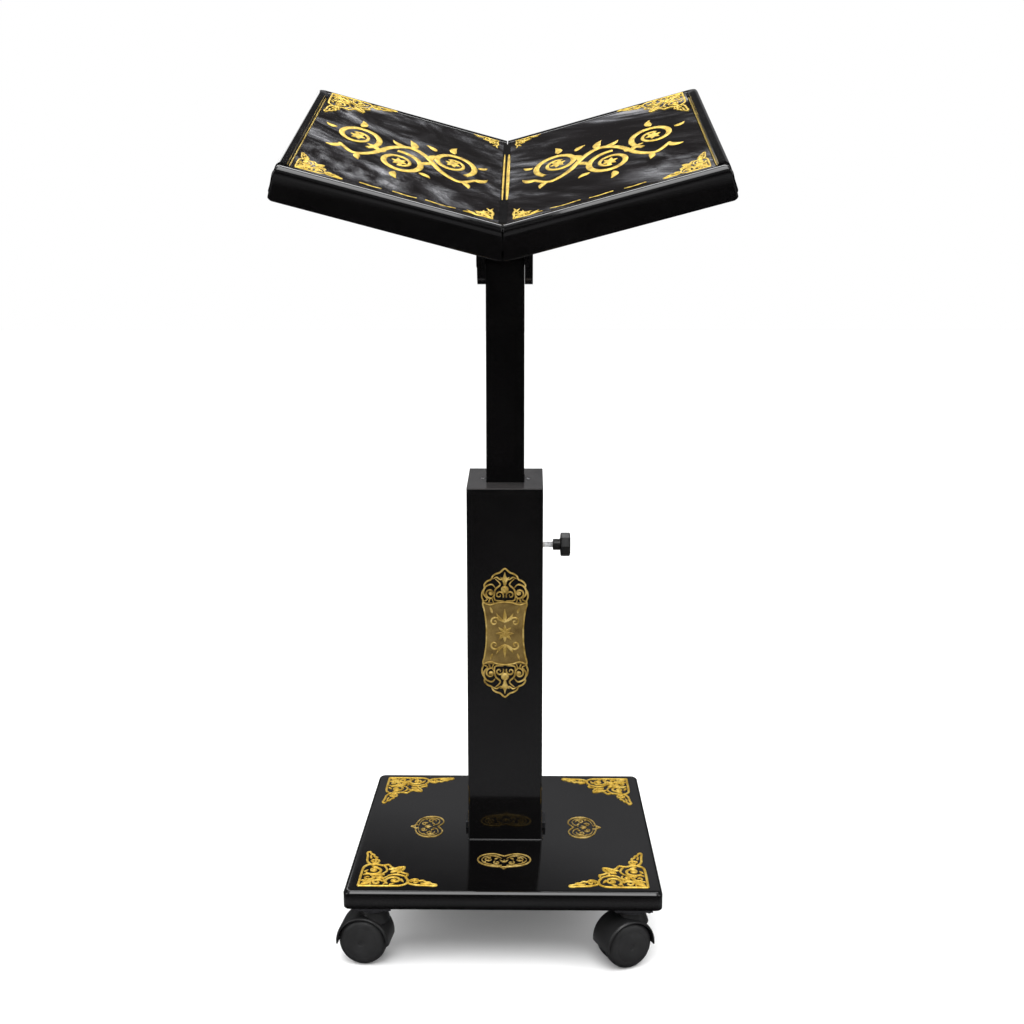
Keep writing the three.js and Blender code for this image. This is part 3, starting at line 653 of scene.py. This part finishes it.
def between(value, table):
    """Linear interpolation in a table of (key, value), keys rising."""
    for (k0, v0), (k1, v1) in zip(table, table[1:]):
        if value <= k1:
            t = max(0.0, (value - k0) / (k1 - k0))
            return v0 + (v1 - v0) * t
    return table[-1][1]


OUTER_END = [(-31, EDGE - 1.6), (-28.5, EDGE + 0.4), (-24, EDGE + 1.4), (-14, EDGE + 1.0), (-5, EDGE + 0.2),
             (-1.5, EDGE - 1.4), (2.0, EDGE - 4.2)]
VALLEY_END = [(-31, -6.0), (-28, -6.7), (-22, -5.4), (0, 0.35), (2.0, 1.0)]


def front_rail(name, place):
    """The rail along a leaf's front: its valley end is mitred, its outer end eased."""
    section = rim_section(RAIL_DROP, 0, RAIL_HEIGHT)
    steps = 5
    rings = []
    for end, ease, sense in ((VALLEY_END, 1.0, 1), (OUTER_END, 2.4, -1)):
        angles = [math.pi / 2 * k / steps for k in range(steps + 1)]
        made = []
        for a in angles:
            shape = inset(section, ease * (1 - math.sin(a)))
            made.append([Vector((between(z, end) + sense * ease * (1 - math.cos(a)), -y - GAP, z))
                         for y, z in shape])
        rings += made if sense > 0 else made[::-1]
    node = f"{name}_front_rail"
    stand_in(node, f"{node}_fine", moved(skin(rings), place), LACQUER, "book_rest", 30)


def edge_moulding(name, place):
    """The moulding round a leaf's outer side and back; it sinks level with the leaf at the back."""
    section = rim_section(RIM_DROP, 2, SIDE_HEIGHT)
    side, back = PANEL_WIDTH + GAP, PANEL_DEPTH + GAP

    def sunk(z, share):
        return z * (1 - share * (1 - BACK_HEIGHT / SIDE_HEIGHT)) if z > 0 else z

    rings = [[Vector((side + s, y, z)) for s, z in section] for y in (0.0, back - 2 * RIM, back - RIM)]
    steps = 8
    for a in (math.pi / 2 * k / steps for k in range(steps + 1)):
        round_off = [(s, sunk(z, 0.3 + 0.7 * math.sin(a)), max(0.15, min(0.8 * s, 7.0))) for s, z in section]
        rings.append([Vector((side + s - r * (1 - math.cos(a)), back + s - r * (1 - math.sin(a)), z))
                      for s, z, r in round_off])
    rings.append([Vector((0.5 + z * math.tan(VALLEY), back + s, sunk(z, 1.0))) for s, z in section])
    node = f"{name}_edge_moulding"
    stand_in(node, f"{node}_fine", moved(skin(rings), place), LACQUER, "book_rest", 30)


def on_leaf(name, place, strokes, height, lift=0.0):
    """Gilding on a leaf's reading face."""
    flat = moved(relief(strokes, height), Matrix.Translation((0, 0, lift)))
    extra(name, moved(flat, place), LEAF_GILT, "book_rest")


def broken_line(spans, at, drift, half):
    """Short wavering dashes along the rail, given as spans across the leaf."""
    return [[(u, at + drift * math.sin(u / 5.0), half * (0.5 + 0.5 * math.sin(u / 2.4) ** 2))
             for u in range(start, end, 2)] for start, end in spans]


def leaf_gilding(name, place):
    """Filigree in the corners, a vine across the middle and fine lines along the edges."""
    far = placed(corner_design(), (PANEL_WIDTH - 2, PANEL_DEPTH + 8), 0.92, 0.95, (-1, -1))
    near = placed(corner_design(), (PANEL_WIDTH - 3, 3), 0.56, 1.2, (-1, 1))
    valley_near = placed(spray_design(), (8, 4), 1.0, 1.1)
    valley_far = placed(spray_design(), (8, PANEL_DEPTH + 4), 1.0, 0.9, (1, -1))
    on_leaf(f"{name}_leaf_far_filigree", place, far, 0.45, 0.3)
    on_leaf(f"{name}_leaf_near_filigree", place, near, 0.45)
    on_leaf(f"{name}_leaf_valley_sprays", place, valley_near + valley_far, 0.4, 0.1)
    tall = each(vine_design(), lambda x, y, w: (x, 1.32 * y, 1.12 * w))
    on_leaf(f"{name}_leaf_vine", place, placed(tall, (97, 124), 0.84), 0.5)
    dashes = broken_line(((44, 74), (80, 104), (112, 134)), 7.5, 0.9, 0.8)
    on_leaf(f"{name}_leaf_front_line", place, dashes, 0.3)
    side_line = [[(PANEL_WIDTH + GAP + 1.1, v, 0.28) for v in range(4, int(PANEL_DEPTH) - 8, 8)]]
    on_leaf(f"{name}_leaf_side_line", place, side_line, 0.3, -0.72)


for hand, sign in HANDS:
    spot = leaf_place(sign)
    front_rail(hand, spot)
    edge_moulding(hand, spot)
    leaf_gilding(hand, spot)
    soften(f"{hand}_wing", 0.8 * MM)
    soften(f"{hand}_cheek", 0.9 * MM)
    dress(LEAF_LACQUER, f"{hand}_leaf_panel")
    dress(LACQUER, f"{hand}_cheek")
    dress(WING_WOOD, f"{hand}_wing")
dress(LACQUER, "valley_strip", "cross_block")
soften("cross_block", 0.8 * MM)


def valley_lines():
    """A gold line on each side of the valley joint, worn away towards both ends."""
    for (hand, sign), middle, half in zip(HANDS, (1.9, 2.6), (1.0, 1.7)):
        path = [(middle, y, half * math.sin(math.pi * (y - 62) / 150) ** 0.25) for y in range(65, 210, 6)]
        on_leaf(f"{hand}_valley_line", leaf_place(sign), [path], 0.35, 0.02)


valley_lines()


# ------------------------------------------------------------------ base plate and its gilding
def rounded_ring(half, corner, height, steps=7):
    """A square with round corners, as points at one height."""
    made = []
    for quarter, (sx, sy) in enumerate(((1, 1), (-1, 1), (-1, -1), (1, -1))):
        centre = (sx * (half - corner), sy * (half - corner))
        for x, y in arc_points(centre, corner, 90 * quarter, 90 * quarter + 90, steps):
            made.append(Vector((x, y, height)))
    return made


def rounded_plate(half, bottom, top, corner, foot, shoulder):
    """A square plate with an eased foot and shoulder, given as lists of (step in, height from the edge)."""
    profile = [(step, bottom + rise) for step, rise in foot] + [(step, top - fall) for step, fall in shoulder]
    return skin([rounded_ring(half - step, max(0.4, corner - 0.6 * step), z) for step, z in profile])


def base_plate():
    """The plate with its eased edges; returns the height of its top in millimetres."""
    low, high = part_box("base_plate")
    foot = [(1.9, 0), (0.8, 0.35), (0.2, 1.1), (0, 2.2)]
    shoulder = [(0, 3.0), (0.18, 2.45), (0.6, 1.9), (1.7, 0.8), (2.3, 0.35), (3.0, 0.1), (3.8, 0)]
    plate = rounded_plate(high.x / MM, low.z / MM, high.z / MM, 6.5, foot, shoulder)
    stand_in("base_plate", "base_plate_fine", moved(plate, SCALE), LACQUER, "frame", 40)
    return high.z / MM


BASE_TOP = base_plate()
HEART_AT = 81.0


def gild_base():
    """A filigree in each corner of the plate and a heart on each side of the column."""
    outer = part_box("corner_ornament_rear_right")[1].x / MM
    corner = relief(corner_design(), 0.95)
    heart = relief(heart_design(), 0.9)
    turns = [Matrix.Rotation(i * math.pi / 2, 4, "Z") @ SCALE for i in range(4)]
    for quarter, turned in zip(QUARTERS, turns):
        place = turned @ Matrix.Translation((-outer, -outer, BASE_TOP))
        stand_in(f"corner_ornament_{quarter}", f"corner_filigree_{quarter}", moved(corner, place), GILT,
                 sharp=60)
    for side, turned in zip(SIDES, turns):
        place = turned @ Matrix.Translation((0, -HEART_AT, BASE_TOP))
        stand_in(f"base_medallion_{side}", f"heart_medallion_{side}", moved(heart, place), PLAQUE_GILT,
                 sharp=60)


gild_base()


# ------------------------------------------------------------------ plaque
def plaque():
    """The openwork, the sunk field behind its middle, and the flowers on the field."""
    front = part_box("column_front_panel")[0].y
    place = Matrix.Translation((0, front, PLAQUE_Z * MM)) @ Matrix.Rotation(math.pi / 2, 4, "X") @ SCALE
    rope = relief(plaque_design(), 2.0)
    stand_in("front_plaque", "plaque_openwork", moved(rope, place), PLAQUE_GILT, "frame", 60)
    right = [(x, y) for x, y in plaque_outline(1.0) if abs(y) <= FIELD_HALF + 1]
    right = [(20.6, FIELD_HALF + 2.6)] + right + [(20.6, -FIELD_HALF - 2.6)]
    loop = right + [(-x, y) for x, y in reversed(right)]
    field = skin([[Vector((x, y, z)) for x, y in reversed(loop)] for z in (0.0, 0.8)])
    extra("plaque_field", moved(field, place), BRONZE, sharp=30)
    flowers = moved(relief(placed(field_design(), size=1.2), 0.9), Matrix.Translation((0, 0, 0.8)))
    extra("plaque_flowers", moved(flowers, place), PLAQUE_GILT)


plaque()


# ------------------------------------------------------------------ column, post and pivot
for panel in ("front_panel", "back_panel", "left_panel", "right_panel"):
    dress(LACQUER, f"column_{panel}")
    soften(f"column_{panel}", 0.6 * MM, 3)
dress(LACQUER, "post")
dress(CAP_LACQUER_PAINTED_SHEEN, "column_cap")
soften("column_cap", 0.5 * MM, 3)
soften("post", 1.1 * MM, 3)
dress(GUIDE_WOOD, "post_guide")
dress(HOOD_NYLON, "post_shoe", "clamp_pad")
soften("post_shoe", 0.8 * MM)
soften("clamp_pad", 0.6 * MM)
dress(DARK_STEEL, "foot_cleat_left", "foot_cleat_right", "pivot_nut", "pivot_bolt")
for node in ("foot_cleat_left", "foot_cleat_right", "pivot_nut", "pivot_bolt"):
    soften(node, 0.4 * MM)
dress(BRASS, "threaded_insert")


def foot_bead():
    """A fine bead of filler round the foot of the column."""
    section = [(0.0, 0.0), (0.9, 0.0), (0.8, 0.5), (0.45, 0.85), (0.0, 0.95)]
    half, middle = 38.0, 6.0  # half the column's width, and how far back its middle stands, in mm
    rings = [rounded_ring(half + out, 1.6 + out, BASE_TOP + up, 4) for out, up in section]
    bead = moved(skin(rings + rings[:1], caps=False), Matrix.Translation((0, middle * MM, 0)) @ SCALE)
    extra("column_foot_bead", bead, LACQUER)


foot_bead()


def cross_head(radius, thick):
    """A domed screw head with a cross recess, about Z."""
    segments = 48
    rings = []
    for share, lift in ((0, 0.62), (0.2, 0.62), (0.34, 0.62), (0.44, 0.7), (0.7, 0.9), (0.9, 0.62),
                        (1.0, 0.2), (1.0, 0)):
        made = []
        for k in range(segments):
            a = 2 * math.pi * k / segments
            arm = max(abs(math.cos(a)), abs(math.sin(a))) > 0.965
            sink = -0.5 if share < 0.2 or (share < 0.5 and arm) else 0.0
            reach = max(share * radius, 1e-4)
            made.append(Vector((reach * math.cos(a), reach * math.sin(a), thick * lift + sink)))
        rings.append(made)
    return skin(rings[::-1])


def cap_screws():
    """The two screws that hold the cap."""
    for side in ("left", "right"):
        low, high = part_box(f"cap_screw_{side}")
        middle = (low + high) / 2
        head = cross_head(2.6, 1.3)
        shank = skin(lathe_rings([(0, -18), (1.0, -18), (1.5, -16), (1.5, 0.1), (0, 0.1)], 16))
        place = Matrix.Translation((middle.x, middle.y, high.z - 1.3 * MM)) @ SCALE
        screw = moved(merge([head, shank]), place)
        stand_in(f"cap_screw_{side}", f"cap_screw_{side}_fine", screw, SCREW_STEEL, sharp=30)


cap_screws()


# ------------------------------------------------------------------ clamp screw and knob
def clamp_place():
    """From millimetres about +Z to the clamp's axis, which lies along +X."""
    low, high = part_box("clamp_screw")
    middle = (low + high) / 2
    return Matrix.Translation((0, middle.y, middle.z)) @ Matrix.Rotation(math.pi / 2, 4, "Y") @ SCALE


CLAMP = clamp_place()


def clamp_screw():
    """The clamp's screw with a helical thread."""
    low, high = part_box("clamp_screw")
    start, end, pitch, segments = low.x / MM, high.x / MM, 1.0, 24
    count = int((end - start) / pitch * 8)
    rings = []
    for i in range(count + 1):
        x = start + (end - start) * i / count
        made = []
        for k in range(segments):
            phase = (x / pitch + k / segments) % 1.0
            radius = 2.62 + 0.36 * (1 - abs(2 * phase - 1))
            radius -= 0.5 if i in (0, count) else 0.0
            a = 2 * math.pi * k / segments
            made.append(Vector((radius * math.cos(a), radius * math.sin(a), x)))
        rings.append(made)
    stand_in("clamp_screw", "clamp_screw_thread", moved(skin(rings), CLAMP), CHROME_PAINTED_SHEEN,
             "clamp_handle", 50)


def clamp_knob():
    """Hub and eight-sided head about the screw's axis, with a shallow dish in the outer face."""
    low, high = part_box("clamp_knob")
    start, end = low.x / MM, high.x / MM
    hub = [(3.05, start), (5.2, start), (5.7, start + 0.4), (5.8, start + 1.2), (5.8, start + 7.2)]
    head = [(7.6, start + 7.6, 0.6), (10.9, start + 7.7, 0.9), (11.9, start + 8.1, 1), (12.3, start + 8.9, 1),
            (12.3, end - 1.5, 1), (11.9, end - 0.6, 1), (11.0, end - 0.1, 1), (8.2, end - 0.05, 0.4),
            (7.4, end - 0.1, 0), (6.8, end - 0.8, 0), (3.4, end - 0.9, 0), (0, end - 0.9, 0)]
    profile = [(r, x, 0) for r, x in hub] + head
    segments = 96
    sector = math.pi / 4
    rings = []
    for radius, x, share in profile:
        made = []
        for k in range(segments):
            a = 2 * math.pi * k / segments
            facet = math.cos(sector / 2) / math.cos((a % sector) - sector / 2)
            reach = max(radius * (1 - share + share * facet), 1e-4)
            made.append(Vector((reach * math.cos(a), reach * math.sin(a), x)))
        rings.append(made)
    stand_in("clamp_knob", "clamp_knob_fine", moved(skin(rings), CLAMP), KNOB_NYLON,
             "clamp_handle", 26)


clamp_screw()
clamp_knob()


# ------------------------------------------------------------------ casters
TRAIL, HOOD_R, HOOD_HALF, WELL_R = 9.0, 25.8, 16.5, 23.6


def wheel():
    """One wheel about Z with its outer face up: hub dimple, parting line, rounded tread."""
    hub = [(0, 17.2), (2.2, 17.2), (2.6, 17.55), (3.2, 17.75), (9.0, 17.62), (14.6, 17.1), (15.0, 16.9)]
    tread = [(15.5, 16.95), (18.4, 16.1), (20.6, 14.7), (22.0, 13.0), (22.8, 11.2), (23.0, 9.4), (23.0, 5.6)]
    inner_face = [(22.8, 4.6), (21.9, 3.5), (21.0, 3.25), (3.1, 3.25), (3.1, 15.0), (0, 15.0)]
    return skin(lathe_rings(hub + tread + inner_face, 72)[::-1])


def clear_of_wheels(point, web_half):
    """Lifts a point of the boss out of the two wheel wells; points inside the web stay."""
    if abs(point.y) <= web_half:
        return point
    roof = math.sqrt(max(0, (WELL_R + 0.05) ** 2 - point.x ** 2))
    return Vector((point.x, point.y, max(point.z, roof)))


def hood():
    """The hood about its axle along Y: a rounded arch, the web between the wheels, and the swivel boss."""
    skirt, web_half = 4, 2.6
    arch = []
    steps = 40
    outer = [(HOOD_R, -12.6), (HOOD_R - 0.3, -14.6), (HOOD_R - 0.8, -15.9), (HOOD_R - 1.5, -HOOD_HALF)]
    section = outer + [(WELL_R, -HOOD_HALF), (WELL_R, HOOD_HALF)]
    section += [(r, -y) for r, y in reversed(outer)]
    for k in range(steps + 1):
        a = math.radians(-skirt + (180 + 2 * skirt) * k / steps)
        arch.append([Vector((r * math.cos(a), y, r * math.sin(a))) for r, y in section])
    web_rim = arc_points((0, 0), WELL_R + 0.1, -skirt, 180 + skirt, 36)
    web_rim += arc_points((0, 0), 8.0, 214, 326, 10)
    web = [[Vector((x, y, z)) for x, z in web_rim] for y in (-web_half, web_half)]
    boss = lathe_rings([(7, 11.8), (15.4, 18.5), (14.6, 21.5), (13.4, 24.5), (12.6, 27.2), (12.0, 28.8),
                        (11.2, 29.6), (4.4, 29.7), (4.0, 30.1), (4.0, 33.5), (0, 33.5)], 48)
    boss = [[clear_of_wheels(p + Vector((TRAIL, 0, 0)), web_half - 0.1) for p in around] for around in boss]
    return merge([skin(arch[::-1]), skin(web), skin(boss)])


def joint(name):
    return next(j for j in frame["joints"] if j["name"] == name)


def plate_screws(quarter):
    """Four screw heads under the corners of a caster plate."""
    reach, plate_thick = 20.5 * MM, 2.5 * MM
    for i in range(4):
        corner = Matrix.Rotation(math.pi / 4 + i * math.pi / 2, 4, "Z")
        spot = Vector(joint(f"swivel_{quarter}")["pos_m"]) + corner @ Vector((reach, 0, 0))
        spot.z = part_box(f"caster_plate_{quarter}")[1].z - plate_thick
        place = Matrix.Translation(spot) @ Matrix.Rotation(math.pi, 4, "X") @ SCALE
        screw = moved(cross_head(2.6, 1.4), place)
        extra(f"caster_plate_screw_{quarter}_{i}", screw, DARK_STEEL, sharp=30)


def casters():
    """Four casters: hood, axle, plate, two wheels and the plate's screws."""
    wheel_part, hood_part = wheel(), hood()
    for quarter in QUARTERS:
        spin = joint(f"spin_{quarter}_a")
        axle = Vector(spin["axis"])
        yaw = math.atan2(axle.y, axle.x) - math.pi / 2
        place = Matrix.Translation(spin["pos_m"]) @ Matrix.Rotation(yaw, 4, "Z") @ SCALE
        node = f"caster_hood_{quarter}"
        stand_in(node, f"{node}_fine", moved(hood_part, place), HOOD_NYLON,
                 f"caster_{quarter}", 38)
        dress(AXLE_STEEL, f"caster_axle_{quarter}")
        dress(DARK_STEEL, f"caster_plate_{quarter}")
        soften(f"caster_plate_{quarter}", 0.5 * MM)
        for letter, turn in (("a", math.pi / 2), ("b", -math.pi / 2)):
            facing = place @ Matrix.Rotation(turn, 4, "X")
            node = f"caster_wheel_{quarter}_{letter}"
            stand_in(node, f"{node}_fine", moved(wheel_part, facing), WHEEL_NYLON,
                     f"wheel_{quarter}_{letter}", 32)
        plate_screws(quarter)


casters()


# ------------------------------------------------------------------ studio
def pale_floor():
    """A plain pale floor that polished faces don't reflect; the room's ramp stands in for it."""
    reach = 30.0
    corners = [(-reach, -reach, 0), (reach, -reach, 0), (reach, reach, 0), (-reach, reach, 0)]
    mesh = bpy.data.meshes.new("floor")
    mesh.from_pydata(corners, [], [(0, 1, 2, 3)])
    floor = bpy.data.objects.new("floor", mesh)
    bpy.context.scene.collection.objects.link(floor)
    pale = Surface("pale_floor", Roughness=0.9, Specular_IOR_Level=0.1)
    pale.colours(pale.noise(0.8, 2), (0.0, (0.92, 0.92, 0.92)), (1.0, (0.94, 0.94, 0.94)))
    mesh.materials.append(pale.material)
    floor.visible_glossy = False


# What polished faces see, by height: (sine of elevation + 1) / 2, then brightness. Below the horizon it
# is the pale floor near the stand, above it a dim room that brightens overhead.
ROOM = ((0.0, 0.008), (0.21, 0.012), (0.255, 0.22), (0.3, 0.27), (0.335, 0.2), (0.36, 0.12), (0.41, 0.035),
        (0.46, 0.006), (0.5, 0.004), (0.53, 0.03), (0.62, 0.12), (0.70, 0.21), (0.76, 0.06), (0.86, 0.04),
        (0.93, 0.6), (1, 1.0))


def room_ramp(tree):
    """A colour ramp over elevation that holds the room's brightness."""
    place = tree.nodes.new("ShaderNodeTexCoord")
    split = tree.nodes.new("ShaderNodeSeparateXYZ")
    height = tree.nodes.new("ShaderNodeMapRange")
    height.inputs["From Min"].default_value = -1
    made = tree.nodes.new("ShaderNodeValToRGB")
    ramp = made.color_ramp
    while len(ramp.elements) < len(ROOM):
        ramp.elements.new(0.5)
    for element, (position, grey) in zip(ramp.elements, ROOM):
        element.position = position
        element.color = (grey, grey, grey * 1.03, 1)
    tree.links.new(place.outputs["Generated"], split.inputs["Vector"])
    tree.links.new(split.outputs["Z"], height.inputs["Value"])
    tree.links.new(height.outputs["Result"], made.inputs["Fac"])
    return made.outputs["Color"]


def background(tree, strength):
    """A white background shader."""
    made = tree.nodes.new("ShaderNodeBackground")
    made.inputs["Color"].default_value = (1, 1, 1, 1)
    made.inputs["Strength"].default_value = strength
    return made


def world():
    """A white backdrop, an even dome for matt faces and a dim room for polished ones."""
    made = bpy.data.worlds.new("studio")
    bpy.context.scene.world = made
    made.use_nodes = True
    tree = made.node_tree
    tree.nodes.clear()
    link = tree.links.new
    backdrop, dome, room = background(tree, 1.0), background(tree, 1.3), background(tree, 1.0)
    path = tree.nodes.new("ShaderNodeLightPath")
    lit = tree.nodes.new("ShaderNodeMixShader")
    seen = tree.nodes.new("ShaderNodeMixShader")
    out = tree.nodes.new("ShaderNodeOutputWorld")
    link(room_ramp(tree), room.inputs["Color"])
    link(path.outputs["Is Glossy Ray"], lit.inputs["Fac"])
    link(dome.outputs["Background"], lit.inputs[1])
    link(room.outputs["Background"], lit.inputs[2])
    link(path.outputs["Is Camera Ray"], seen.inputs["Fac"])
    link(lit.outputs["Shader"], seen.inputs[1])
    link(backdrop.outputs["Background"], seen.inputs[2])
    link(seen.outputs["Shader"], out.inputs["Surface"])


def softbox(name, size, at, aim, power):
    """A rectangular light aimed at a point and hidden from view."""
    lamp = bpy.data.lights.new(name, "AREA")
    lamp.shape = "RECTANGLE"
    lamp.size, lamp.size_y = size
    lamp.energy = power
    made = bpy.data.objects.new(name, lamp)
    made.location = at
    made.visible_camera = False
    made.rotation_mode = "QUATERNION"
    made.rotation_quaternion = (Vector(aim) - Vector(at)).to_track_quat("-Z", "Y")
    bpy.context.scene.collection.objects.link(made)


def camera():
    """The camera, a little right of the middle and looking slightly down."""
    lens = bpy.data.cameras.new("camera")
    lens.sensor_width = 36
    lens.lens = 44.1
    made = bpy.data.objects.new("camera", lens)
    made.location = (0.0247, -1.2572, 0.6232)
    made.rotation_euler = (math.radians(90 - 9.34), 0, math.radians(0.82))
    bpy.context.scene.collection.objects.link(made)
    bpy.context.scene.camera = made


bpy.context.scene.view_settings.view_transform = "Standard"
pale_floor()
world()
camera()
softbox("overhead_front", (1.8, 2.2), (0, -1.15, 2.7), (0, 0, 0.6), 48)
softbox("left_wing", (0.5, 1.8), (-2.2, -1.0, 1.5), (0, 0, 0.5), 9)
softbox("right_wing", (0.5, 1.8), (2.2, -0.8, 1.6), (0, 0, 0.5), 9)
softbox("back_left_card", (0.5, 1.2), (-1.05, 2.61, 1.9), (-0.2, -0.05, 0.78), 3.2)
softbox("back_card", (2.6, 0.5), (0, 1.6, 2.9), (0, 0, 0.7), 22)
